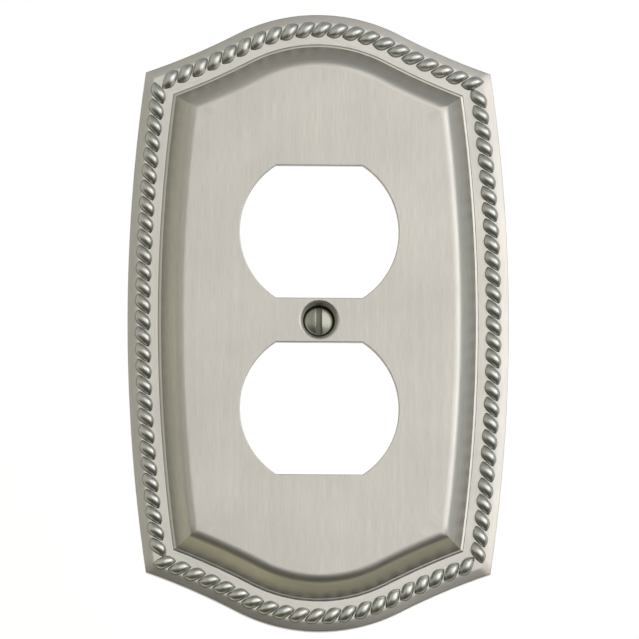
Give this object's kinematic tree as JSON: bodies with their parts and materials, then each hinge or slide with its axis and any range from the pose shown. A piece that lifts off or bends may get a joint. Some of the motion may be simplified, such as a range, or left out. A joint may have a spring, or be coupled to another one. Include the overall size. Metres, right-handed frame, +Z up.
{
  "type": "duplex outlet wall plate",
  "caption": "Crowned metal wall plate with a rope-moulded border, a raised bevelled panel, two flat-sided round outlet openings and a slotted oval-head centre screw",
  "frame": {"origin": "the centre of the screw hole, on the wall plane that the back rim rests on", "axes": "+Z up along the plate's height, +X to the viewer's right, -Y out of the wall towards the room; the wall plane is y = 0"},
  "size_m": [0.0832, 0.0154, 0.1358],
  "materials": {
    "plate_metal": "brushed satin nickel plating on cast brass",
    "screw_metal": "brushed satin nickel plating on steel"
  },
  "bodies": {
    "root": {"wall_plate": "plate_metal", "mounting_screw": "screw_metal"}
  },
  "joints": []
}
